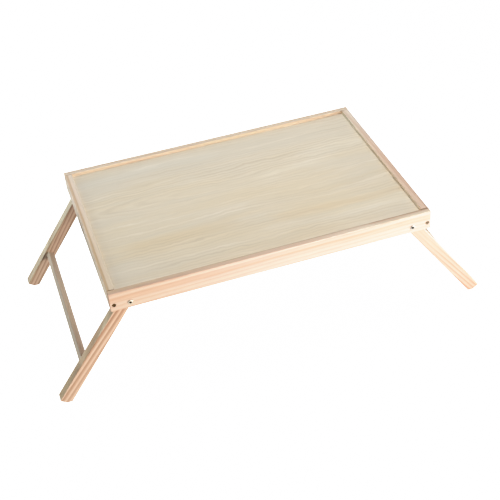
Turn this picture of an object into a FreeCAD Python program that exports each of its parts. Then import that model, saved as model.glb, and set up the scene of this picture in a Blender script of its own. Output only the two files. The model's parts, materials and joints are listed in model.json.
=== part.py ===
import FreeCAD, Part
import os
import math
from FreeCAD import Vector as V

# Folding laptop table: a pine tray frame with a sunk panel, on two leg frames
# that fold flat under the tray. Millimetres, +Z up, the floor at Z = 0, the
# long side along X, the front at -Y, the origin under the middle of the tray.

# ---- driving dimensions ---------------------------------------------------
table_w = 600.0        # tray length, over the rail ends
table_d = 400.0        # tray depth, over the long rails
rail_h = 38.0          # height of all four rails
long_t = 12.0          # thickness of the front and rear rails
end_t = 14.0           # thickness of the end rails
rail_ease = 1.2        # rounding of the rails' long edges
end_ease = 0.8         # rounding of the long rails' ends

lip = 6.5              # rail tops above the panel
panel_t = 5.0          # panel thickness
groove_in = 5.0        # depth of the panel groove in each rail
groove_slack = 0.2     # groove height beyond the panel
panel_slack = 0.4      # panel edge to groove bottom

pivot_in = 35.7        # pivot axis from the rail end
pivot_drop = 26.5      # pivot axis below the rail tops
splay = 35.5           # leg angle from the vertical when open, degrees

leg_w = 22.6           # leg width, in the plane that it folds in
leg_t = 18.0           # leg thickness
leg_len = 250.0        # pivot axis to the square-cut leg end
leg_ease = 1.2         # rounding of the leg's edges
foot_flat = 10.0       # level facet at the inner corner of each leg end
foot_round = 1.6       # rounding of the leg end's corners

stretch_at = 167.0     # stretcher centre from the pivot, along the leg
stretch_a = 10.0       # stretcher section along the leg
stretch_b = 13.0       # stretcher section across the leg
stretch_ease = 1.2

bolt_d = 6.0           # pivot bolt shank
bolt_head_d = 10.5
bolt_head_h = 1.6
socket_af = 4.0        # hexagon socket across flats
socket_depth = 3.4     # through the head and into the shank
rail_hole_d = 6.2      # clearance hole in the rail
leg_bore_d = 6.1       # running bore in the leg
spacer_od, spacer_id, spacer_t = 16.0, 6.3, 1.6
washer_od, washer_id, washer_t = 14.0, 6.3, 1.0
side_gap = 0.1         # leg face to each washer
nut_af = 10.0
nut_hex_h = 4.4
nut_collar_h = 1.6
nut_bore_d = 6.04

dowel_d = 5.96
dowel_hole_d = 6.0
dowel_leg = 11.5       # dowel hole depth in the leg
dowel_bar = 13.0       # dowel hole depth in the stretcher
dowel_end_gap = 0.5

screw_in = 7.0         # corner screw from the rail end
screw_drop = 24.5      # corner screw below the rail tops
screw_d = 3.96
screw_pilot_d = 4.0
screw_hole_d = 4.3
screw_head_d = 7.4
screw_head_h = 2.2
screw_rim = 0.3        # straight rim of the flat head
screw_sink = 1.6       # head below the rail face
screw_len = 38.0

# ---- derived places -------------------------------------------------------
th = math.radians(splay)
hw = leg_w / 2.0
foot_cut = foot_flat / (1.0 / math.tan(th) + math.tan(th))
pivot_z = leg_len * math.cos(th) + hw * math.sin(th) - foot_cut
top_z = pivot_z + pivot_drop
low_z = top_z - rail_h
pivot_x = table_w / 2.0 - pivot_in
front_y = -table_d / 2.0
rail_in_y = front_y + long_t
leg_y0 = rail_in_y + spacer_t + side_gap
leg_y1 = leg_y0 + leg_t
washer_y0 = leg_y1 + side_gap
nut_y0 = washer_y0 + washer_t
nut_h = nut_hex_h + nut_collar_h
bolt_len = nut_y0 + nut_h + 0.6 - front_y
panel_top = top_z - lip
panel_low = panel_top - panel_t

os.makedirs("parts", exist_ok=True)


# ---- helpers --------------------------------------------------------------
def rounded_outline(pts):
    """Closed wire through (point, radius) corners, each corner an arc that is
    tangent to both sides."""
    n = len(pts)
    ends = []
    for i in range(n):
        p, r = pts[i]
        a = (pts[i - 1][0] - p)
        b = (pts[(i + 1) % n][0] - p)
        a.normalize()
        b.normalize()
        if r <= 0:
            ends.append((p, None, p))
            continue
        half = math.acos(max(-1.0, min(1.0, a.dot(b)))) / 2.0
        t = r / math.tan(half)
        mid = a + b
        mid.normalize()
        centre = p + mid * (r / math.sin(half))
        ends.append((p + a * t, centre - mid * r, p + b * t))
    edges = []
    for i in range(n):
        s, m, e = ends[i]
        if m is not None:
            edges.append(Part.Arc(s, m, e).toShape())
        nxt = ends[(i + 1) % n][0]
        if e.distanceToPoint(nxt) > 1e-6:
            edges.append(Part.LineSegment(e, nxt).toShape())
    return Part.Wire(edges)


def prism(pts, along):
    return Part.Face(rounded_outline(pts)).extrude(along)


def bar_x(x0, x1, y0, y1, z0, z1, r):
    """Bar along X with rounded long edges."""
    pts = [(V(x0, y0, z0), r), (V(x0, y1, z0), r), (V(x0, y1, z1), r), (V(x0, y0, z1), r)]
    return prism(pts, V(x1 - x0, 0, 0))


def bar_y(x0, x1, y0, y1, z0, z1, r):
    """Bar along Y with rounded long edges."""
    pts = [(V(x0, y0, z0), r), (V(x1, y0, z0), r), (V(x1, y0, z1), r), (V(x0, y0, z1), r)]
    return prism(pts, V(0, y1 - y0, 0))


def box(x0, x1, y0, y1, z0, z1):
    return Part.makeBox(x1 - x0, y1 - y0, z1 - z0, V(x0, y0, z0))


def rod_y(d, y0, y1, x, z):
    """Cylinder along Y."""
    return Part.makeCylinder(d / 2.0, y1 - y0, V(x, y0, z), V(0, 1, 0))


def ring_y(od, bore, y0, y1, x, z):
    ring = rod_y(od, y0, y1, x, z)
    rim = [e for e in ring.Edges if isinstance(e.Curve, Part.Circle)]
    ring = ring.makeChamfer(0.15, rim)
    return ring.cut(rod_y(bore, y0 - 1, y1 + 1, x, z))


def turned(profile):
    """Solid of revolution about Z from (radius, height) points."""
    pts = [V(r, 0, z) for r, z in profile]
    pts.append(pts[0])
    return Part.Face(Part.makePolygon(pts)).revolve(V(0, 0, 0), V(0, 0, 1), 360)


def hexagon(af, z0, z1):
    rad = af / math.sqrt(3.0)
    pts = [V(rad * math.cos(math.radians(60 * i)), rad * math.sin(math.radians(60 * i)), z0) for i in range(6)]
    pts.append(pts[0])
    return Part.Face(Part.makePolygon(pts)).extrude(V(0, 0, z1 - z0))


def out_of_front(shape, x, y, z):
    """Turns a piece built about Z so that +Z points out of the front face."""
    s = shape.copy()
    s.rotate(V(0, 0, 0), V(1, 0, 0), 90)
    s.translate(V(x, y, z))
    return s


def to_rear(shape):
    return shape.mirror(V(0, 0, 0), V(0, 1, 0))


def to_right(shape):
    return shape.mirror(V(0, 0, 0), V(1, 0, 0))


def save(name, shapes):
    if not isinstance(shapes, list):
        shapes = [shapes]
    solids = []
    for s in shapes:
        solids += s.Solids
    for s in solids:
        if not s.isValid() or s.Volume <= 0:
            print("bad solid in", name)
    shape = solids[0] if len(solids) == 1 else Part.makeCompound(solids)
    shape.exportStep("parts/" + name + ".step")
    print(name, len(solids), "solids", round(sum(s.Volume for s in solids), 1), "mm3")


# ---- tray frame -----------------------------------------------------------
groove_top = panel_top + groove_slack

# Front rail: full length, ends rounded over, a stopped groove for the panel, a
# clearance hole for each pivot bolt and a sunk hole for each corner screw.
front = bar_x(-table_w / 2, table_w / 2, front_y, rail_in_y, low_z, top_z, rail_ease)
ends = [e for e in front.Edges if abs(abs(e.CenterOfMass.x) - table_w / 2) < 1e-6]
front = front.makeFillet(end_ease, ends)
groove_x = table_w / 2 - end_t + groove_in
front = front.cut(box(-groove_x, groove_x, rail_in_y - groove_in, rail_in_y + 1, panel_low, groove_top))
cone_k = (screw_head_d - screw_d) / 2 / (screw_head_h - screw_rim)
bore_r = screw_head_d / 2 + 0.1
cone_top = -screw_sink - screw_rim
cone_low = cone_top - (bore_r - screw_hole_d / 2) / cone_k
screw_hole = turned([
    (0, 1), (bore_r, 1), (bore_r, cone_top), (screw_hole_d / 2, cone_low),
    (screw_hole_d / 2, -long_t - 1), (0, -long_t - 1)])
screw_x = table_w / 2 - screw_in
screw_z = top_z - screw_drop
for side in (-1, 1):
    front = front.cut(rod_y(rail_hole_d, front_y - 1, rail_in_y + 1, side * pivot_x, pivot_z))
    front = front.cut(out_of_front(screw_hole, side * screw_x, front_y, screw_z))
save("front_rail", front)
save("rear_rail", to_rear(front))

# End rails: butted between the long rails, grooved from end to end, with a
# pilot hole for a corner screw in each end.
left_end = bar_y(-table_w / 2, -table_w / 2 + end_t, rail_in_y, -rail_in_y, low_z, top_z, rail_ease)
left_end = left_end.cut(box(-table_w / 2 + end_t - groove_in, -table_w / 2 + end_t + 1,
                            rail_in_y - 1, -rail_in_y + 1, panel_low, groove_top))
pilot_end = front_y + screw_sink + screw_len + 1.0
left_end = left_end.cut(rod_y(screw_pilot_d, rail_in_y - 1, pilot_end, -screw_x, screw_z))
left_end = left_end.cut(rod_y(screw_pilot_d, -pilot_end, -rail_in_y + 1, -screw_x, screw_z))
save("left_end_rail", left_end)
save("right_end_rail", to_right(left_end))

# Panel: held in the grooves on all four sides.
px = groove_x - panel_slack
py = -rail_in_y + groove_in - panel_slack
save("top_panel", box(-px, px, -py, py, panel_low, panel_top))

# Corner screws: flat heads with a cross recess, sunk below the rail face.
screw = turned([
    (0, 0), (screw_head_d / 2, 0), (screw_head_d / 2, -screw_rim), (screw_d / 2, -screw_head_h),
    (screw_d / 2, -screw_len + 5.0), (0.4, -screw_len), (0, -screw_len)])
slot = box(-2.1, 2.1, -0.55, 0.55, -1.3, 1)
screw = screw.cut(slot).cut(box(-0.55, 0.55, -2.1, 2.1, -1.3, 1))
screw.rotate(V(0, 0, 0), V(0, 0, 1), 24)
screws = []
for side in (-1, 1):
    s = out_of_front(screw, side * screw_x, front_y + screw_sink, screw_z)
    screws += [s, to_rear(s)]
save("corner_screws", screws)

# ---- pivots ---------------------------------------------------------------
# Connector bolt with a low crowned head and a deep hexagon socket, through
# rail, spacer, leg, washer and lock nut.
bolt_r = bolt_d / 2
head_r = bolt_head_d / 2
dome = []
for i in range(0, 9):
    a = math.radians(12 + i * (66 / 8.0))
    dome.append((2.55 + (head_r - 2.55) * math.cos(a) / math.cos(math.radians(12)),
                 0.5 + (bolt_head_h - 0.5) * (math.sin(a) - math.sin(math.radians(12)))
                 / (math.sin(math.radians(78)) - math.sin(math.radians(12)))))
bolt = turned([(0, -bolt_len), (bolt_r - 0.6, -bolt_len), (bolt_r, -bolt_len + 0.6), (bolt_r, 0), (head_r - 0.2, 0),
               (head_r, 0.2)] + dome + [(2.45, bolt_head_h), (0, bolt_head_h)])
bolt = bolt.cut(hexagon(socket_af, bolt_head_h - socket_depth, bolt_head_h + 1))

nut_rad = nut_af / math.sqrt(3.0)
nut = hexagon(nut_af, 0, -nut_hex_h).common(turned([
    (0, 0), (nut_af / 2 - 0.1, 0), (nut_rad + 0.05, -0.55), (nut_rad + 0.05, -nut_hex_h + 0.3),
    (nut_rad - 0.4, -nut_hex_h), (0, -nut_hex_h)]))
collar = turned([(0, -nut_hex_h), (nut_af / 2 - 0.3, -nut_hex_h), (nut_af / 2 - 0.4, -nut_h + 0.7),
                 (nut_af / 2 - 0.7, -nut_h + 0.2), (nut_af / 2 - 1.2, -nut_h), (0, -nut_h)])
nut = nut.fuse(collar).removeSplitter()
nut = nut.cut(Part.makeCylinder(nut_bore_d / 2, nut_h + 2, V(0, 0, 1), V(0, 0, -1)))

left_bolt = out_of_front(bolt, -pivot_x, front_y, pivot_z)
left_spacer = ring_y(spacer_od, spacer_id, rail_in_y, rail_in_y + spacer_t, -pivot_x, pivot_z)
left_washer = ring_y(washer_od, washer_id, washer_y0, washer_y0 + washer_t, -pivot_x, pivot_z)
left_nut = out_of_front(nut, -pivot_x, nut_y0, pivot_z)
for name, piece in (("pivot_bolts", left_bolt), ("spacer_washers", left_spacer),
                    ("nut_washers", left_washer), ("lock_nuts", left_nut)):
    pair = [piece, to_rear(piece)]
    save("left_" + name, pair)
    save("right_" + name, [to_right(p) for p in pair])

# ---- leg frames -----------------------------------------------------------
# A leg is drawn hanging straight down from its pivot, with +X on the inner
# side. Its top is round about the pivot. Its end is cut square, with a level
# facet where the open leg stands on the floor.
floor_drop = pivot_z
facet_x = (floor_drop - leg_len * math.cos(th)) / math.sin(th)
facet_s = (floor_drop - hw * math.sin(th)) / math.cos(th)
corners = [(V(hw, leg_y0, -facet_s), foot_round), (V(facet_x, leg_y0, -leg_len), foot_round),
           (V(-hw, leg_y0, -leg_len), foot_round + 0.6)]
foot = rounded_outline([(V(-hw, leg_y0, 0), 0), (V(hw, leg_y0, 0), 0)] + corners)
side_edges = [e for e in foot.Edges if not (abs(e.CenterOfMass.z) < 1e-6)]
crown = Part.Arc(V(-hw, leg_y0, 0), V(0, leg_y0, hw), V(hw, leg_y0, 0)).toShape()
outline = Part.Wire(Part.__sortEdges__(side_edges + [crown]))
leg = Part.Face(outline).extrude(V(0, leg_t, 0))
rims = [e for e in leg.Edges if abs(e.CenterOfMass.y - leg_y0) < 1e-6 or abs(e.CenterOfMass.y - leg_y1) < 1e-6]
leg = leg.makeFillet(leg_ease, rims)
leg = leg.cut(rod_y(leg_bore_d, leg_y0 - 1, leg_y1 + 1, 0, 0))
leg = leg.cut(rod_y(dowel_hole_d, leg_y1 - dowel_leg, leg_y1 + 1, 0, -stretch_at))

# Stretcher between the legs' inner faces, with a blind dowel hole in each end.
bar = bar_y(-stretch_b / 2, stretch_b / 2, leg_y1, -leg_y1, -stretch_at - stretch_a / 2, -stretch_at + stretch_a / 2,
            stretch_ease)
bar = bar.cut(rod_y(dowel_hole_d, leg_y1 - 1, leg_y1 + dowel_bar, 0, -stretch_at))
bar = bar.cut(rod_y(dowel_hole_d, -leg_y1 - dowel_bar, -leg_y1 + 1, 0, -stretch_at))
dowel = rod_y(dowel_d, leg_y1 - dowel_leg + dowel_end_gap, leg_y1 + dowel_bar - dowel_end_gap, 0, -stretch_at)
dowel = dowel.makeChamfer(0.6, [e for e in dowel.Edges if isinstance(e.Curve, Part.Circle)])


def opened(shape):
    """Swings a hanging piece out to the splay angle at the left pivot."""
    s = shape.copy()
    s.rotate(V(0, 0, 0), V(0, 1, 0), splay)
    s.translate(V(-pivot_x, 0, pivot_z))
    return s


left_leg = opened(leg)
left_bar = opened(bar)
left_dowel = opened(dowel)
save("front_left_leg", left_leg)
save("rear_left_leg", to_rear(left_leg))
save("left_stretcher", left_bar)
save("left_stretcher_dowels", [left_dowel, to_rear(left_dowel)])
save("front_right_leg", to_right(left_leg))
save("rear_right_leg", to_right(to_rear(left_leg)))
save("right_stretcher", to_right(left_bar))
save("right_stretcher_dowels", [to_right(left_dowel), to_right(to_rear(left_dowel))])

print("table height", round(top_z, 3), "pivot height", round(pivot_z, 3), "panel top", round(panel_top, 3))
print("bolt length", round(bolt_len, 2), "leg faces", round(leg_y0, 2), round(leg_y1, 2))
stop_gap = ((table_w / 2 - end_t - pivot_x + rail_ease) * math.cos(th)
            - (rail_h - pivot_drop - rail_ease) * math.sin(th) - rail_ease - hw)
print("leg to end rail at the stop", round(stop_gap, 3))
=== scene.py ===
import json
import math

import bpy
from mathutils import Matrix, Vector


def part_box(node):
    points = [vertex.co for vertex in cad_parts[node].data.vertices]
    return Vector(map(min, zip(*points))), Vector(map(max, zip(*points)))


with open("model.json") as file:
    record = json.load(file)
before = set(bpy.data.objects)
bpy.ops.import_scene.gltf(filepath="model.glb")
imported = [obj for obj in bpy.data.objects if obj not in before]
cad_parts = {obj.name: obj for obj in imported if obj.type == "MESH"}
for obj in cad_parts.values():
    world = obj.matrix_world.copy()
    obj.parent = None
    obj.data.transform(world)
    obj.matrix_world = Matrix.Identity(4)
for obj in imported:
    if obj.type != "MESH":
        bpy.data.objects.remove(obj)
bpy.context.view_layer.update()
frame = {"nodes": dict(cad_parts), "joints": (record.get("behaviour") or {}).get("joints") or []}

scene = bpy.context.scene
nodes = frame["nodes"]
joints = {j["name"]: j for j in frame["joints"]}
left_pivot = Vector(joints["left_legs_fold"]["pos_m"])
right_pivot = Vector(joints["right_legs_fold"]["pos_m"])
splay = math.radians(35.5)


# ---- shader building ------------------------------------------------------
class Shader:
    """A node material under construction. Values are plain numbers, tuples or sockets."""

    def __init__(self, name):
        self.mat = bpy.data.materials.new(name)
        self.mat.use_nodes = True
        self.tree = self.mat.node_tree
        self.tree.nodes.clear()
        self.out = self.add("ShaderNodeOutputMaterial")
        self.bsdf = self.add("ShaderNodeBsdfPrincipled")
        self.tree.links.new(self.bsdf.outputs[0], self.out.inputs[0])
        coord = self.add("ShaderNodeTexCoord")
        self.place = coord.outputs["Object"]
        self.normal = coord.outputs["Normal"]

    def add(self, kind, **props):
        n = self.tree.nodes.new(kind)
        for k, v in props.items():
            setattr(n, k, v)
        return n

    def put(self, socket, value):
        if isinstance(value, bpy.types.NodeSocket):
            self.tree.links.new(value, socket)
        elif value is not None:
            socket.default_value = value

    def math(self, op, a, b=None, c=None, clamp=False):
        n = self.add("ShaderNodeMath", operation=op, use_clamp=clamp)
        for s, v in zip(n.inputs, (a, b, c)):
            self.put(s, v)
        return n.outputs[0]

    def dot(self, a, vec):
        n = self.add("ShaderNodeVectorMath", operation="DOT_PRODUCT")
        self.put(n.inputs[0], a)
        n.inputs[1].default_value = tuple(vec)
        return n.outputs["Value"]

    def xyz(self, x, y, z):
        n = self.add("ShaderNodeCombineXYZ")
        for s, v in zip(n.inputs, (x, y, z)):
            self.put(s, v)
        return n.outputs[0]

    def noise(self, vec, detail=2.0, rough=0.5, distort=0.0):
        n = self.add("ShaderNodeTexNoise", noise_dimensions="3D")
        self.put(n.inputs["Vector"], vec)
        n.inputs["Scale"].default_value = 1.0
        n.inputs["Detail"].default_value = detail
        n.inputs["Roughness"].default_value = rough
        n.inputs["Distortion"].default_value = distort
        return n.outputs[0]

    def white(self, value):
        n = self.add("ShaderNodeTexWhiteNoise", noise_dimensions="1D")
        self.put(n.inputs["W"], value)
        return n.outputs["Value"]

    def span(self, value, a, b, lo=0.0, hi=1.0, smooth=True):
        n = self.add("ShaderNodeMapRange", interpolation_type="SMOOTHSTEP" if smooth else "LINEAR", clamp=True)
        self.put(n.inputs["Value"], value)
        for k, v in (("From Min", a), ("From Max", b), ("To Min", lo), ("To Max", hi)):
            self.put(n.inputs[k], v)
        return n.outputs["Result"]

    def curve(self, value, points):
        n = self.add("ShaderNodeValToRGB")
        self.put(n.inputs[0], value)
        ramp = n.color_ramp
        ramp.interpolation = "EASE"
        while len(ramp.elements) < len(points):
            ramp.elements.new(0.5)
        for e, (at, level) in zip(ramp.elements, points):
            e.position = at
            e.color = (level, level, level, 1.0)
        return n.outputs[0]

    def mix(self, fac, a, b, blend="MIX"):
        n = self.add("ShaderNodeMix", data_type="RGBA", blend_type=blend)
        self.put(n.inputs[0], fac)
        self.put(n.inputs[6], a if isinstance(a, bpy.types.NodeSocket) else (*a, 1.0))
        self.put(n.inputs[7], b if isinstance(b, bpy.types.NodeSocket) else (*b, 1.0))
        return n.outputs[2]

    def tint(self, fac, colour, by):
        return self.mix(fac, colour, by, "MULTIPLY")

    def gain(self, colour, value):
        n = self.add("ShaderNodeVectorMath", operation="SCALE")
        self.put(n.inputs[0], colour)
        self.put(n.inputs["Scale"], value)
        return n.outputs[0]

    def bump(self, height, strength, distance):
        n = self.add("ShaderNodeBump")
        n.inputs["Strength"].default_value = strength
        n.inputs["Distance"].default_value = distance
        self.put(n.inputs["Height"], height)
        self.tree.links.new(n.outputs[0], self.bsdf.inputs["Normal"])

    def local(self, u, v, w, centre):
        """Distances in millimetres from the centre along three unit axes."""
        return [self.math("SUBTRACT", self.dot(self.place, Vector(a) * 1000.0), Vector(a).dot(centre) * 1000.0)
                for a in (u, v, w)]

    def stretched(self, u, v, w, su, sv, sw, shift):
        return self.xyz(self.math("MULTIPLY_ADD", u, su, shift), self.math("MULTIPLY_ADD", v, sv, shift * 1.7),
                        self.math("MULTIPLY_ADD", w, sw, shift * 0.6))


# ---- wood -----------------------------------------------------------------
# Darkness through one growth ring: pale early wood, then late wood with a quick outer end.
THIN = ((0.0, 0.0), (0.38, 0.08), (0.66, 0.62), (0.84, 1.0), (0.93, 0.8), (1.0, 0.0))
WIDE = ((0.0, 0.06), (0.22, 0.10), (0.52, 0.72), (0.76, 1.0), (0.90, 0.80), (1.0, 0.06))
PEAK = {THIN: 0.84, WIDE: 0.76}
SHARE = {THIN: 0.32, WIDE: 0.45}
# A seam that runs the whole length.
ALL = (-999.0, -998.0, 998.0, 999.0)


def pine(name, axes, centre, average, depth, pith, tilt, ring, dark, seed, contrast=0.8, profile=THIN, warp=0.8,
         tone=0.6, rosy=(0.99, 0.95, 0.94), drift=None, streaks=(), faces=(), end_tint=(0.88, 0.80, 0.72), fade=None,
         joint=None, sheen=0.35, bare=()):
    """Planed pine: growth rings about a pith line that lies beside the piece, so that each face, the rounded edges
    and the end grain cut the same rings, with fibres along the piece and short resin flecks. One dark ring passes
    through the point dark = (u, v, w). Streaks are long tinted seams at a height v or depth w, and a capital letter
    keeps a seam off the sides that face along that axis; in some pieces streaks and drift are painted light and
    shade. Faces are tints for one side of the piece: painted light and shade, sides made lighter and darker as light
    falls on them. Fade weakens the rings towards one end, and joint is where the ends are darkened. Sheen is how much
    the lacquer reflects, and bare numbers the streaks that are ragged dark patches: tapered, without lacquer and on
    the -w side only."""
    s = Shader(name)
    u_axis, v_axis, w_axis = axes
    u, v, w = s.local(u_axis, v_axis, w_axis, centre)
    slow = s.noise(s.stretched(u, v, w, 0.006, 0.035, 0.035, seed), 2.0, 0.45)
    fine = s.noise(s.stretched(u, v, w, 0.03, 0.25, 0.25, seed + 3.1), 2.0, 0.5)
    dv = s.math("MULTIPLY_ADD", u, -tilt[0], s.math("SUBTRACT", v, pith[0]))
    dw = s.math("MULTIPLY_ADD", u, -tilt[1], s.math("SUBTRACT", w, pith[1]))
    r = s.math("SQRT", s.math("ADD", s.math("MULTIPLY", dv, dv), s.math("MULTIPLY", dw, dw)))
    r = s.math("ADD", r, s.math("MULTIPLY", s.math("SUBTRACT", slow, 0.5), 4.0 * warp))
    r = s.math("ADD", r, s.math("MULTIPLY", s.math("SUBTRACT", fine, 0.5), 0.9 * warp))
    at_dark = math.hypot(dark[1] - pith[0] - tilt[0] * dark[0], dark[2] - pith[1] - tilt[1] * dark[0]) / ring
    phase = s.math("MULTIPLY_ADD", r, 1.0 / ring, 40.0 + PEAK[profile] - at_dark)
    each = s.white(s.math("ADD", s.math("FLOOR", phase), round(seed * 7.0)))
    band = s.curve(s.math("FRACT", phase), profile)
    band = s.math("MULTIPLY", band, s.math("MULTIPLY_ADD", each, 0.4, 0.67))
    if fade:
        band = s.math("MULTIPLY", band, s.span(u, fade[0], fade[1], fade[2], 1.0))

    swell = s.noise(s.stretched(u, v, w, 0.007, 0.07, 0.07, seed + 7.7), 3.0, 0.55)
    fibre = s.noise(s.stretched(u, v, w, 0.03, 1.5, 1.5, seed + 11.3), 3.0, 0.6)
    hair = s.noise(s.stretched(u, v, w, 0.06, 4.5, 4.5, seed + 17.9), 2.0, 0.5)
    fleck = s.span(s.noise(s.stretched(u, v, w, 0.16, 2.6, 2.6, seed + 23.5), 1.0, 0.5), 0.70, 0.76)

    share = SHARE[profile] * 0.87 * contrast
    late = [a * d for a, d in zip(average, depth)]
    early = [(a - share * l) / (1.0 - share) for a, l in zip(average, late)]
    early = [e / (1.0 - 0.5 * tone * (1.0 - k)) for e, k in zip(early, rosy)]
    colour = s.mix(s.math("MULTIPLY", band, contrast, clamp=True), early, late)
    colour = s.tint(s.span(swell, 0.36, 0.66, 0.0, tone), colour, rosy)
    gloss = sheen
    for i, (axis, at, slope, half, by, (a, b, c, d)) in enumerate(streaks):
        off = s.math("MULTIPLY_ADD", u, -slope, s.math("SUBTRACT", v if axis in "vV" else w, at))
        off = s.math("ADD", off, s.math("MULTIPLY", s.math("SUBTRACT", slow, 0.5), min(1.6 * half, 7.0)))
        if i in bare:
            off = s.math("MULTIPLY_ADD", s.math("SUBTRACT", fine, 0.5), 16.0, off)
            half = s.math("MULTIPLY_ADD", s.math("MULTIPLY", s.span(u, a, b), s.span(u, d, c)), half, 0.01)
        seam = s.math("MULTIPLY", s.span(s.math("ABSOLUTE", off), half, 0.0), s.span(u, a, b))
        if axis in "VW":
            facing = s.math("ABSOLUTE", s.dot(s.normal, v_axis if axis == "V" else w_axis))
            seam = s.math("MULTIPLY", seam, s.span(facing, 0.9, 0.5))
        seam = s.math("MULTIPLY", seam, s.span(u, d, c))
        if i in bare:
            seam = s.math("MULTIPLY", seam, s.span(w, 1.0, -3.0))
        colour = s.tint(seam, colour, by)
        if i in bare:
            gloss = s.math("MULTIPLY", s.math("SUBTRACT", 1.0, seam), gloss)
    if joint:
        colour = s.tint(s.span(s.math("ABSOLUTE", u), joint - 1.6, joint - 0.4), colour, (0.50, 0.42, 0.35))
    if drift:
        a, b, by = drift
        colour = s.tint(s.span(u, a, b), colour, by)
    for way, by in faces:
        colour = s.tint(s.span(s.dot(s.normal, way), 0.5, 0.9), colour, by)
    shade = s.math("MULTIPLY_ADD", s.math("SUBTRACT", fibre, 0.5), 0.36, 1.0)
    shade = s.math("MULTIPLY_ADD", s.math("SUBTRACT", hair, 0.5), 0.18, shade)
    shade = s.math("MULTIPLY_ADD", fleck, -0.18, shade)
    end = s.span(s.math("ABSOLUTE", s.dot(s.normal, u_axis)), 0.72, 0.97)
    colour = s.gain(colour, shade)
    colour = s.tint(end, colour, end_tint)
    s.put(s.bsdf.inputs["Base Color"], colour)

    rough = s.math("MULTIPLY_ADD", fibre, 0.16, 0.46)
    rough = s.math("MULTIPLY_ADD", band, -0.07, rough)
    s.put(s.bsdf.inputs["Roughness"], s.math("MULTIPLY_ADD", end, 0.2, rough))
    s.put(s.bsdf.inputs["Specular IOR Level"], gloss)
    height = s.math("MULTIPLY_ADD", hair, 0.4, s.math("MULTIPLY_ADD", band, 0.35, s.math("MULTIPLY", fibre, 0.8)))
    s.bump(s.math("MULTIPLY_ADD", fleck, -0.5, height), 0.22, 0.00025)
    return s.mat


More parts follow.
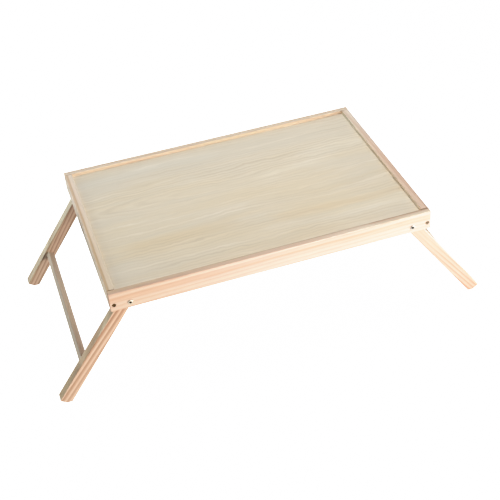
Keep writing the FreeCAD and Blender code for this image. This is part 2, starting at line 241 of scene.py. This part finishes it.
def veneer(name, centre):
    """Pale flat-cut veneer: rippled lines along X that close into long arches towards the left, in broad cooler and
    warmer bands with a few pale streaks. Towards the back the panel turns cooler, and along the front it is lighter:
    painted light."""
    s = Shader(name)
    u, v, w = s.local((1, 0, 0), (0, 1, 0), (0, 0, 1), centre)
    slow = s.noise(s.stretched(u, v, w, 0.0042, 0.018, 0.02, 4.2), 2.0, 0.5)
    fine = s.noise(s.stretched(u, v, w, 0.022, 0.10, 0.05, 9.4), 2.0, 0.5)
    ripple = s.noise(s.stretched(u, v, w, 0.042, 0.03, 0.05, 12.9), 2.0, 0.5)
    wavy = s.math("MULTIPLY_ADD", s.math("SUBTRACT", slow, 0.5), 30.0, v)
    wavy = s.math("MULTIPLY_ADD", s.math("SUBTRACT", fine, 0.5), 6.0, wavy)
    wavy = s.math("MULTIPLY_ADD", s.math("SUBTRACT", ripple, 0.5), 7.0, wavy)
    # Nested arches about v = 42 that point to the left, and lie almost straight further right.
    depth = s.math("MULTIPLY", s.span(u, -70.0, -290.0, smooth=False), 27.0)
    dv = s.math("SUBTRACT", wavy, 42.0)
    r = s.math("SQRT", s.math("ADD", s.math("MULTIPLY", dv, dv), s.math("MULTIPLY", depth, depth)))
    phase = s.math("MULTIPLY_ADD", r, 1.0 / 8.2, 20.0)
    each = s.white(s.math("FLOOR", phase))
    band = s.curve(s.math("FRACT", phase), ((0.0, 0.0), (0.40, 0.30), (0.70, 1.0), (0.86, 0.75), (1.0, 0.0)))
    # The lines show best at the arches and in the back right half.
    patch = s.span(s.noise(s.stretched(u, v, w, 0.005, 0.014, 0.02, 40.3), 2.0, 0.5), 0.40, 0.64, 0.25, 0.8)
    lines = s.math("MULTIPLY", s.span(s.math("ABSOLUTE", s.math("SUBTRACT", v, 82.0)), 56.0, 24.0), s.span(u, -120.0, -30.0))
    arches = s.math("MULTIPLY", s.span(s.math("ABSOLUTE", s.math("SUBTRACT", v, 48.0)), 44.0, 16.0), s.span(u, -160.0, -215.0, 0.0, 0.85))
    patch = s.math("MAXIMUM", patch, s.math("MAXIMUM", lines, arches))
    band = s.math("MULTIPLY", s.math("MULTIPLY", band, patch), s.math("MULTIPLY_ADD", each, 0.5, 0.5))
    broad = s.noise(s.stretched(u, wavy, w, 0.0040, 0.022, 0.02, 15.8), 3.0, 0.55)
    broad = s.math("MULTIPLY_ADD", broad, 0.7, s.span(u, 90.0, 270.0, 0.13, 0.19))
    # Painted light: the back of the panel turns cooler, as the light falls there.
    broad = s.math("ADD", broad, s.span(v, 80.0, 165.0, 0.0, 0.20))
    streak = s.noise(s.stretched(u, wavy, w, 0.007, 0.13, 0.1, 21.6), 3.0, 0.55)
    fibre = s.noise(s.stretched(u, wavy, w, 0.035, 1.5, 1.0, 27.2), 3.0, 0.6)
    pore = s.span(s.noise(s.stretched(u, v, w, 0.14, 2.8, 1.0, 33.1), 1.0, 0.5), 0.68, 0.75)

    colour = s.mix(s.span(broad, 0.30, 0.70), (0.716, 0.588, 0.410), (0.690, 0.598, 0.472))
    colour = s.gain(colour, s.math("MULTIPLY_ADD", patch, 0.05, 1.0))
    colour = s.mix(s.math("MULTIPLY", band, 0.90), colour, (0.615, 0.496, 0.350))
    colour = s.mix(s.span(streak, 0.54, 0.76, 0.0, s.span(v, -150.0, -20.0, 0.32, 0.55)), colour, (0.770, 0.675, 0.552))
    # Broad bands: (v, half width, slope along u, tint, fade in and out along u).
    for at, half, slope, by, (a, b, c, d) in (
            (150.0, 20.0, 0.00, (1.01, 1.03, 1.06), (-999.0, -998.0, -40.0, 60.0)),
            (43.0, 12.0, 0.02, (1.04, 1.06, 1.09), (30.0, 80.0, 160.0, 220.0)),
            (80.0, 26.0, 0.00, (1.03, 1.06, 1.11), (130.0, 200.0, 998.0, 999.0)),
            (-84.0, 34.0, 0.00, (0.98, 0.95, 0.90), (-270.0, -205.0, -90.0, 20.0)),
            (-40.0, 14.0, 0.00, (0.99, 0.975, 0.94), (140.0, 200.0, 998.0, 999.0)),
            (-102.0, 18.0, 0.00, (0.99, 0.95, 0.89), (10.0, 60.0, 998.0, 999.0)),
            # Painted light: this band and the two below lighten the front of the panel.
            (-140.0, 26.0, 0.01, (1.04, 1.05, 1.07), ALL),
            (-172.0, 40.0, 0.00, (1.05, 1.04, 1.03), ALL),
            (-130.0, 60.0, 0.00, (1.04, 1.05, 1.06), (90.0, 180.0, 998.0, 999.0))):
        off = s.math("MULTIPLY_ADD", u, -slope, s.math("SUBTRACT", v, at))
        off = s.math("ADD", off, s.math("MULTIPLY", s.math("SUBTRACT", slow, 0.5), 40.0))
        seam = s.math("MULTIPLY", s.span(s.math("ABSOLUTE", off), half, 0.0), s.span(u, a, b))
        colour = s.tint(s.math("MULTIPLY", seam, s.span(u, d, c)), colour, by)
    shade = s.math("MULTIPLY_ADD", s.math("SUBTRACT", streak, 0.5), 0.15, 1.0)
    shade = s.math("MULTIPLY_ADD", s.math("SUBTRACT", fibre, 0.5), 0.18, shade)
    shade = s.math("MULTIPLY_ADD", pore, -0.10, shade)
    s.put(s.bsdf.inputs["Base Color"], s.gain(colour, shade))
    s.put(s.bsdf.inputs["Roughness"], s.math("MULTIPLY_ADD", fibre, 0.16, 0.42))
    s.bsdf.inputs["Specular IOR Level"].default_value = 0.35
    s.bump(s.math("MULTIPLY_ADD", pore, -0.6, s.math("MULTIPLY_ADD", band, 0.3, fibre)), 0.16, 0.0002)
    return s.mat


# ---- metal, nylon ---------------------------------------------------------
def zinc(name, sockets):
    """Zinc plate, faintly clouded. Each hexagon socket is dull, with painted shade inside it and about its mouth,
    off-centre towards the side of the head away from the light.
    """
    s = Shader(name)
    u, v, w = s.local((1, 0, 0), (0, 1, 0), (0, 0, 1), Vector((0, 0, 0)))
    cloud = s.noise(s.stretched(u, v, w, 0.35, 0.35, 0.35, 2.7), 3.0, 0.6)
    scuff = s.noise(s.stretched(u, v, w, 2.6, 2.6, 2.6, 8.3), 2.0, 0.6)
    colour = s.mix(s.span(cloud, 0.35, 0.7), (0.44, 0.395, 0.335), (0.36, 0.325, 0.28))
    rough = s.math("MULTIPLY_ADD", scuff, 0.16, s.math("MULTIPLY_ADD", cloud, 0.14, 0.36))
    if sockets:
        side = s.math("SIGN", u)
        colour = s.tint(s.span(u, 50.0, -50.0), colour, (1.06, 0.98, 0.85))
        dx = s.math("MULTIPLY_ADD", side, -abs(left_pivot.x) * 1000.0, u)
        dz = s.math("SUBTRACT", w, left_pivot.z * 1000.0)
        off = s.math("SQRT", s.math("ADD", s.math("MULTIPLY", dx, dx), s.math("MULTIPLY", dz, dz)))
        # Painted shade inside the socket, then off-centre on the head on the side away from the light.
        painted_shade = s.math("MULTIPLY", s.span(off, 2.5, 2.35), s.span(s.math("ABSOLUTE", v), 201.55, 201.2))
        dx = s.math("ADD", dx, 1.2)
        dz = s.math("SUBTRACT", dz, 1.0)
        off = s.math("SQRT", s.math("ADD", s.math("MULTIPLY", dx, dx), s.math("MULTIPLY", dz, dz)))
        off = s.math("MULTIPLY_ADD", side, -0.45, off)
        painted_shade = s.math("MAXIMUM", painted_shade, s.span(s.math("MULTIPLY_ADD", cloud, 0.8, off), 3.2, 2.2))
        painted_shade = s.math("MULTIPLY", painted_shade, s.span(s.math("ABSOLUTE", v), 197.9, 198.1))
        colour = s.mix(painted_shade, colour, (0.115, 0.104, 0.085))
        rough = s.math("MULTIPLY_ADD", painted_shade, 0.4, rough)
    s.put(s.bsdf.inputs["Base Color"], colour)
    s.put(s.bsdf.inputs["Roughness"], rough)
    s.bsdf.inputs["Metallic"].default_value = 1.0
    s.bump(scuff, 0.10, 0.00005)
    return s.mat


def brown_screw(name):
    s = Shader(name)
    u, v, w = s.local((1, 0, 0), (0, 1, 0), (0, 0, 1), Vector((0, 0, 0)))
    cloud = s.noise(s.stretched(u, v, w, 1.1, 1.1, 1.1, 5.1), 3.0, 0.6)
    colour = s.mix(s.span(cloud, 0.4, 0.68), (0.092, 0.046, 0.010), (0.150, 0.084, 0.024))
    # The screws at the right are paler.
    paler_right = s.span(s.math("MULTIPLY_ADD", cloud, 60.0, u), -30.0, 90.0)
    colour = s.mix(paler_right, colour, (0.260, 0.195, 0.118))
    s.put(s.bsdf.inputs["Base Color"], colour)
    s.put(s.bsdf.inputs["Roughness"], s.math("MULTIPLY_ADD", cloud, 0.25, 0.42))
    s.bsdf.inputs["Metallic"].default_value = 0.2
    s.bsdf.inputs["Specular IOR Level"].default_value = 0.15
    s.bump(cloud, 0.15, 0.00008)
    return s.mat


def nylon(name):
    s = Shader(name)
    u, v, w = s.local((1, 0, 0), (0, 1, 0), (0, 0, 1), Vector((0, 0, 0)))
    cloud = s.noise(s.stretched(u, v, w, 0.5, 0.5, 0.5, 6.6), 3.0, 0.55)
    colour = s.mix(s.span(cloud, 0.35, 0.7), (0.80, 0.79, 0.75), (0.73, 0.71, 0.65))
    s.put(s.bsdf.inputs["Base Color"], colour)
    s.put(s.bsdf.inputs["Roughness"], s.math("MULTIPLY_ADD", cloud, 0.2, 0.38))
    s.bump(cloud, 0.1, 0.00005)
    return s.mat


def finish_node(name, mat):
    o = nodes[name]
    if not o.material_slots:
        o.data.materials.append(None)
    for slot in o.material_slots:
        slot.link = "OBJECT"
        slot.material = mat


def middle(name):
    lo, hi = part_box(name)
    return (lo + hi) / 2.0


X, Y, Z = Vector((1, 0, 0)), Vector((0, 1, 0)), Vector((0, 0, 1))
# Down each leg, and out of its upper side.
down_left = Vector((-math.sin(splay), 0, -math.cos(splay)))
out_left = Vector((-math.cos(splay), 0, math.sin(splay)))
down_right = Vector((math.sin(splay), 0, -math.cos(splay)))
out_right = Vector((math.cos(splay), 0, math.sin(splay)))
mid_left = left_pivot + down_left * 0.12
mid_right = right_pivot + down_right * 0.12
front, rear = Vector((0, middle("front_left_leg").y, 0)), Vector((0, middle("rear_left_leg").y, 0))

finish_node("front_rail", pine(
    "pine_front_rail", (X, Z, -Y), middle("front_rail"), (0.632, 0.424, 0.290), (0.86, 0.78, 0.72),
    (-46.0, -10.0), (0.016, 0.010), 7.6, (-120.0, 4.0, 6.0), 1.3, 0.65, THIN, 1.5, 0.6,
    # Painted light: lighter and bluer towards the right end.
    drift=(-300.0, 20.0, (1.10, 1.115, 1.27)),
    streaks=(("v", 6.5, 0.001, 8.5, (0.93, 0.84, 0.76), (-999.0, -998.0, 100.0, 700.0)),
             ("V", 19.0, 0.0, 3.5, (0.90, 0.82, 0.78), (-999.0, -998.0, -200.0, 40.0)),
             ("V", 14.0, 0.0, 2.6, (1.06, 1.04, 1.04), (-999.0, -998.0, -100.0, 150.0)),
             ("v", -18.0, 0.0, 6.0, (0.94, 0.91, 0.88), (-999.0, -998.0, -220.0, 0.0)),
             # Painted shade: the inner edge of the top darker, in this seam and the last one, where it faces away from
             # the light.
             ("W", -5.5, 0.0, 3.5, (0.85, 0.88, 0.80), (-260.0, -60.0, 998.0, 999.0)),
             # Painted highlight: the front edge of the top paler towards the right.
             ("W", 4.0, 0.0, 6.5, (1.09, 1.27, 1.30), (40.0, 240.0, 998.0, 999.0)),
             ("W", 0.0, 0.0, 60.0, (0.98, 0.97, 0.94), (-170.0, -70.0, 60.0, 120.0)),
             ("W", 1.0, 0.0, 6.0, (1.01, 1.06, 1.05), (20.0, 120.0, 998.0, 999.0)),
             ("W", 5.0, 0.0, 6.0, (0.96, 0.87, 0.93), (-999.0, -998.0, -220.0, -120.0)),
             ("W", -5.2, 0.0, 4.2, (0.70, 0.65, 0.58), (-160.0, 40.0, 998.0, 999.0))),
    # Painted shade: the top face a little darker than the front. The end grain is darker wood, and painted shade
    # darkens it further.
    faces=((Z, (0.95, 0.98, 0.93)),), end_tint=(0.40, 0.32, 0.27)))
finish_node("rear_rail", pine(
    "pine_rear_rail", (X, Z, -Y), middle("rear_rail"), (0.650, 0.497, 0.365), (0.84, 0.76, 0.68),
    (-40.0, 60.0), (-0.008, 0.010), 7.5, (0.0, 12.0, 6.0), 5.9, 0.6, THIN, 1.4, 0.6,
    drift=(-230.0, 20.0, (0.975, 0.98, 0.975)),
    streaks=(("V", 0.0, 0.0, 60.0, (1.06, 1.14, 1.16), (-999.0, -998.0, -240.0, -120.0)),
             ("V", 0.0, 0.0, 60.0, (0.95, 0.97, 0.94), (-120.0, -20.0, 80.0, 180.0))),
    # Painted light: the inner face above the panel is made lighter.
    faces=((-Y, (1.13, 1.07, 0.99)),)))
finish_node("left_end_rail", pine(
    "pine_left_end_rail", (Y, Z, X), middle("left_end_rail"), (0.719, 0.570, 0.420), (0.84, 0.76, 0.68),
    (-60.0, 24.0), (0.01, 0.01), 9.0, (0.0, 0.0, -7.0), 9.2, 0.45, THIN, 1.2, 0.5,
    # Painted light: lighter and bluer towards the back.
    drift=(-120.0, 150.0, (1.05, 1.05, 1.12)),
    streaks=(("w", -3.4, 0.002, 5.0, (0.85, 0.77, 0.67), ALL), ("w", -2.2, 0.002, 1.6, (0.90, 0.83, 0.74), ALL),
             # Painted shade: the inner edge of the top darker.
             ("w", 7.0, 0.0, 2.4, (0.84, 0.86, 0.86), ALL),
             # Painted shade: the outer face darker towards its lower edge.
             ("V", -19.0, 0.0, 44.0, (0.44, 0.39, 0.33), (-170.0, -40.0, 45.0, 110.0)),
             # A ragged dark patch low on the outer face, without lacquer.
             ("V", -19.0, 0.0, 34.0, (0.34, 0.28, 0.20), (-20.0, 48.0, 54.0, 92.0))),
    # Painted shade: the outer face a little darker and cooler.
    faces=((-X, (0.90, 0.96, 1.00)),), joint=188.0, sheen=0.04, bare=(4,)))
finish_node("right_end_rail", pine(
    "pine_right_end_rail", (Y, Z, X), middle("right_end_rail"), (0.669, 0.470, 0.342), (0.84, 0.76, 0.70),
    (-60.0, 40.0), (0.012, -0.008), 6.0, (0.0, 19.0, 0.0), 14.6, 0.7, THIN, 1.2, 0.6,
    # Painted light: lighter and bluer towards the back.
    drift=(-20.0, 190.0, (1.03, 1.17, 1.26)),
    streaks=(("w", 5.2, 0.0, 3.0, (0.86, 0.86, 0.90), ALL), ("w", -0.5, 0.0, 4.0, (1.03, 1.02, 1.01), ALL)),
    # Painted shade: the inner face is tinted darker in red and blue.
    faces=((-X, (0.93, 1.02, 0.96)),), joint=188.0))
finish_node("front_left_leg", pine(
    "pine_front_left_leg", (down_left, out_left, -Y), mid_left + front, (0.545, 0.345, 0.220), (0.66, 0.53, 0.42),
    (-118.0, -14.0), (0.050, 0.004), 9.2, (10.0, 1.6, 9.0), 2.4, 1.0, WIDE, 0.5, 0.5,
    drift=(-10.0, -100.0, (0.92, 0.86, 0.81)),
    # Painted shade: the sides darker towards the foot and at the top, as in the shadow of the tray.
    streaks=(("W", 0.0, 0.0, 60.0, (0.52, 0.44, 0.345), (35.0, 60.0, 998.0, 999.0)),
             ("W", 0.0, 0.0, 60.0, (0.53, 0.49, 0.44), (-999.0, -998.0, -95.0, -30.0))),
    # Painted light: the upper side lighter and cooler.
    faces=((out_left, (1.06, 1.29, 1.27)),)))
# Painted shade: the whole leg is darker, as in the shade of the tray and the front leg; the face tint below lightens
# its upper side again.
finish_node("rear_left_leg", pine(
    "pine_rear_left_leg", (down_left, out_left, -Y), mid_left + rear, (0.340, 0.209, 0.132), (0.58, 0.48, 0.40),
    (-90.0, 10.0), (-0.05, 0.01), 7.4, (95.0, 0.8, 9.0), 6.8, 1.0, THIN, 0.6, 0.6,
    drift=(10.0, 70.0, (1.12, 1.16, 1.18)),
    streaks=(("V", 10.3, 0.0, 4.5, (0.80, 0.82, 0.72), ALL), ("V", -10.0, 0.0, 4.5, (0.80, 0.80, 0.72), ALL),
             # Painted shade: the sides darker towards the foot and at the top, as in the shadow of the tray.
             ("W", 0.0, 0.0, 60.0, (0.65, 0.59, 0.555), (35.0, 60.0, 998.0, 999.0)),
             ("W", 0.0, 0.0, 60.0, (0.88, 0.87, 0.89), (-999.0, -998.0, -60.0, -20.0))),
    # Painted light: the upper side made much paler.
    faces=((out_left, (1.87, 2.50, 2.69)),)))
finish_node("front_right_leg", pine(
    "pine_front_right_leg", (down_right, out_right, -Y), mid_right + front, (0.590, 0.369, 0.266), (0.72, 0.60, 0.50),
    (-100.0, 12.0), (0.050, -0.004), 7.0, (55.0, 3.3, 9.0), 11.5, 0.85, THIN, 0.5, 0.5,
    # Painted light: the upper side made paler where it lies in shade.
    drift=(60.0, 128.0, (0.99, 0.90, 0.86)), fade=(-60.0, 40.0, 0.35), faces=((out_right, (1.32, 1.58, 1.78)),)))
finish_node("rear_right_leg", pine(
    "pine_rear_right_leg", (down_right, out_right, -Y), mid_right + rear, (0.620, 0.425, 0.300), (0.80, 0.72, 0.62),
    (-88.0, -14.0), (-0.03, 0.01), 7.8, (0.0, 3.0, 9.0), 16.2, 0.9, THIN, 0.8, 0.6))
finish_node("left_stretcher", pine(
    "pine_left_stretcher", (Y, out_left, down_left), left_pivot + down_left * 0.167, (0.386, 0.272, 0.185),
    (0.84, 0.78, 0.72), (-50.0, 35.0), (0.006, 0.01), 6.0, (0.0, 2.0, -5.0), 19.7, 0.6, THIN, 0.8, 0.6,
    drift=(-120.0, 40.0, (1.08, 1.10, 1.12)), streaks=(("W", 0.0, 0.0, 60.0, (1.22, 1.20, 1.20), (60.0, 150.0, 998.0, 999.0)),
                                                      ("V", 0.0, 0.0, 60.0, (1.10, 1.13, 1.12), (-110.0, -40.0, 40.0, 110.0)),
                                                      ("V", 0.0, 0.0, 60.0, (0.93, 0.90, 0.89), (-999.0, -998.0, -150.0, -90.0))),
    # Painted light and shade: the outer face lighter and the upper face darker, as light falls on them.
    faces=((out_left, (1.02, 1.14, 1.21)), (-down_left, (0.94, 0.92, 0.91)))))
# Painted light: the whole stretcher is made paler where it lies in the tray's shade.
finish_node("right_stretcher", pine(
    "pine_right_stretcher", (Y, out_right, down_right), right_pivot + down_right * 0.167, (0.800, 0.680, 0.550),
    (0.84, 0.78, 0.72), (-45.0, 38.0), (0.008, -0.01), 6.5, (0.0, -2.0, -5.0), 25.3, 0.6, THIN, 0.8, 0.5))
beech = pine("beech_dowels", (Y, Z, X), Vector((0, 0, 0)), (0.57, 0.38, 0.24), (0.85, 0.80, 0.75),
             (30.0, 20.0), (0.0, 0.0), 3.0, (0.0, 0.0, 0.0), 31.1, 0.4)
for n in ("left_stretcher_dowels", "right_stretcher_dowels"):
    finish_node(n, beech)
finish_node("top_panel", veneer("panel_veneer", middle("top_panel")))

plain_zinc = zinc("zinc_plate", False)
bolt_zinc = zinc("zinc_bolts", True)
for side in ("left", "right"):
    finish_node(side + "_pivot_bolts", bolt_zinc)
    finish_node(side + "_nut_washers", plain_zinc)
    finish_node(side + "_lock_nuts", plain_zinc)
    finish_node(side + "_spacer_washers", nylon("nylon_" + side))
finish_node("corner_screws", brown_screw("brown_screws"))

# ---- floor ----------------------------------------------------------------
mesh = bpy.data.meshes.new("floor")
half = 9.0
mesh.from_pydata([(-half, -half, -0.0005), (half, -half, -0.0005), (half, half, -0.0005), (-half, half, -0.0005)], [], [(0, 1, 2, 3)])
floor = bpy.data.objects.new("floor", mesh)
scene.collection.objects.link(floor)
f = Shader("pale_floor")
fu, fv, fw = f.local(X, Y, Z, Vector((0, 0, 0)))
grain = f.noise(f.stretched(fu, fv, fw, 0.004, 0.004, 0.004, 1.0), 3.0, 0.6)
f.put(f.bsdf.inputs["Base Color"], f.mix(grain, (0.34, 0.34, 0.34), (0.36, 0.36, 0.36)))
f.bsdf.inputs["Roughness"].default_value = 0.9
f.bsdf.inputs["Specular IOR Level"].default_value = 0.1
f.bsdf.inputs["Emission Color"].default_value = (1.0, 1.0, 1.0, 1.0)
f.bsdf.inputs["Emission Strength"].default_value = 1.6
# Seen from below, the floor is clear, so that the underside can be looked at.
geo = f.add("ShaderNodeNewGeometry")
clear = f.add("ShaderNodeBsdfTransparent")
swap = f.add("ShaderNodeMixShader")
f.tree.links.new(geo.outputs["Backfacing"], swap.inputs[0])
f.tree.links.new(f.bsdf.outputs[0], swap.inputs[1])
f.tree.links.new(clear.outputs[0], swap.inputs[2])
f.tree.links.new(swap.outputs[0], f.out.inputs[0])
mesh.materials.append(f.mat)
# The floor shows, and glints in the metal, but the room's light comes from the sky below.
floor.visible_diffuse = False
floor.visible_shadow = False

# ---- light ----------------------------------------------------------------
world = bpy.data.worlds.new("studio")
scene.world = world
world.use_nodes = True
wt = world.node_tree
back = wt.nodes["Background"]


def world_node(kind, **props):
    n = wt.nodes.new(kind)
    for k, v in props.items():
        setattr(n, k, v)
    return n


way = world_node("ShaderNodeSeparateXYZ")
wt.links.new(world_node("ShaderNodeTexCoord").outputs["Generated"], way.inputs[0])
rise = world_node("ShaderNodeMapRange", interpolation_type="SMOOTHSTEP")
wt.links.new(way.outputs[2], rise.inputs["Value"])
rise.inputs["From Min"].default_value, rise.inputs["From Max"].default_value = -0.05, 0.05
sky = world_node("ShaderNodeMix", data_type="RGBA")
wt.links.new(rise.outputs["Result"], sky.inputs[0])
sky.inputs[6].default_value = (0.070, 0.068, 0.066, 1.0)
sky.inputs[7].default_value = (0.070, 0.070, 0.070, 1.0)
under = world_node("ShaderNodeMapRange", interpolation_type="SMOOTHSTEP")
wt.links.new(way.outputs[2], under.inputs["Value"])
under.inputs["From Min"].default_value, under.inputs["From Max"].default_value = -0.55, -0.95
lift = world_node("ShaderNodeMix", data_type="RGBA")
wt.links.new(under.outputs["Result"], lift.inputs[0])
wt.links.new(sky.outputs[2], lift.inputs[6])
lift.inputs[7].default_value = (0.55, 0.54, 0.53, 1.0)
# The backdrop itself is white.
ray = world_node("ShaderNodeLightPath")
drop = world_node("ShaderNodeMix", data_type="RGBA")
wt.links.new(ray.outputs["Is Camera Ray"], drop.inputs[0])
wt.links.new(lift.outputs[2], drop.inputs[6])
drop.inputs[7].default_value = (2.0, 2.0, 2.0, 1.0)
wt.links.new(drop.outputs[2], back.inputs[0])
back.inputs[1].default_value = 1.0


def softbox(name, azimuth, elevation, distance, size, colour):
    """A soft light of size (width, height) that faces the table. Azimuth turns from the front (-Y) towards +X. The
    colour is what a white card at the table, facing the light, would show."""
    a, e = math.radians(azimuth), math.radians(elevation)
    target = Vector((0.0, 0.0, 0.15))
    at = target + Vector((math.sin(a) * math.cos(e), -math.cos(a) * math.cos(e), math.sin(e))) * distance
    data = bpy.data.lights.new(name, "AREA")
    data.shape = "RECTANGLE"
    data.size, data.size_y = size
    top = max(colour)
    data.energy = math.pi * math.pi * distance * distance * top
    data.color = tuple(c / top for c in colour)
    o = bpy.data.objects.new(name, data)
    scene.collection.objects.link(o)
    o.matrix_world = Matrix.Translation(at) @ (target - at).to_track_quat("-Z", "Y").to_matrix().to_4x4()
    o.visible_camera = False
    return o


# The front lights are low, so that the front rail's lip throws no shadow on the panel.
softbox("front", 10.0, 5.5, 2.6, (1.2, 0.5), (0.57, 0.58, 0.60))
softbox("key", 35.0, 3.0, 2.0, (1.0, 0.4), (0.93, 0.94, 0.95))
softbox("right_high", 90.0, 73.0, 1.6, (0.6, 0.6), (0.592, 0.597, 0.590))
softbox("right_low", 80.0, 2.0, 2.2, (1.0, 0.4), (0.34, 0.34, 0.34))
softbox("left_fill", -90.0, 12.0, 1.8, (1.0, 1.0), (0.49, 0.52, 0.525))
softbox("back_left", -150.0, 40.0, 1.8, (1.2, 1.2), (0.20, 0.24, 0.27))
softbox("back_right", 150.0, 40.0, 1.8, (1.2, 1.2), (0.11, 0.125, 0.14))
softbox("rear_low", 180.0, 4.0, 2.4, (1.4, 0.4), (0.50, 0.50, 0.50))

# ---- camera ---------------------------------------------------------------
cam_data = bpy.data.cameras.new("camera")
cam_data.sensor_fit = "HORIZONTAL"
cam_data.sensor_width = 36.0
cam_data.lens = 77.4497
cam_data.clip_end = 100.0
cam = bpy.data.objects.new("camera", cam_data)
scene.collection.objects.link(cam)
right = Vector((0.945800, -0.318421, -0.063806))
up = Vector((0.245661, 0.573010, 0.781863))
ahead = right.cross(up) * -1.0
turn = Matrix((right, up, -ahead)).transposed().to_4x4()
cam.matrix_world = Matrix.Translation(Vector((-0.440017, -1.604093, 1.403368))) @ turn
scene.camera = cam

# ---- tone: straight up to 0.8, then a soft shoulder -------------------------
view = scene.view_settings
view.view_transform = "Standard"
view.look = "None"
view.exposure = 0.0
view.gamma = 1.0
view.use_curve_mapping = True
tone_map = view.curve_mapping
tone_map.use_clip = False
tone_map.clip_max_x = 4.0
tone_map.clip_max_y = 1.2
shoulder = ((0.0, 0.0), (0.8, 0.8), (0.9, 0.8787), (1.0, 0.9264), (1.2, 0.9729), (1.4, 0.9900), (2.0, 0.9995), (4.0, 1.0))
curve = tone_map.curves[3]
while len(curve.points) < len(shoulder):
    curve.points.new(0.5, 0.5)
for p, at in zip(curve.points, shoulder):
    p.location = at
    p.handle_type = "VECTOR"
tone_map.update()
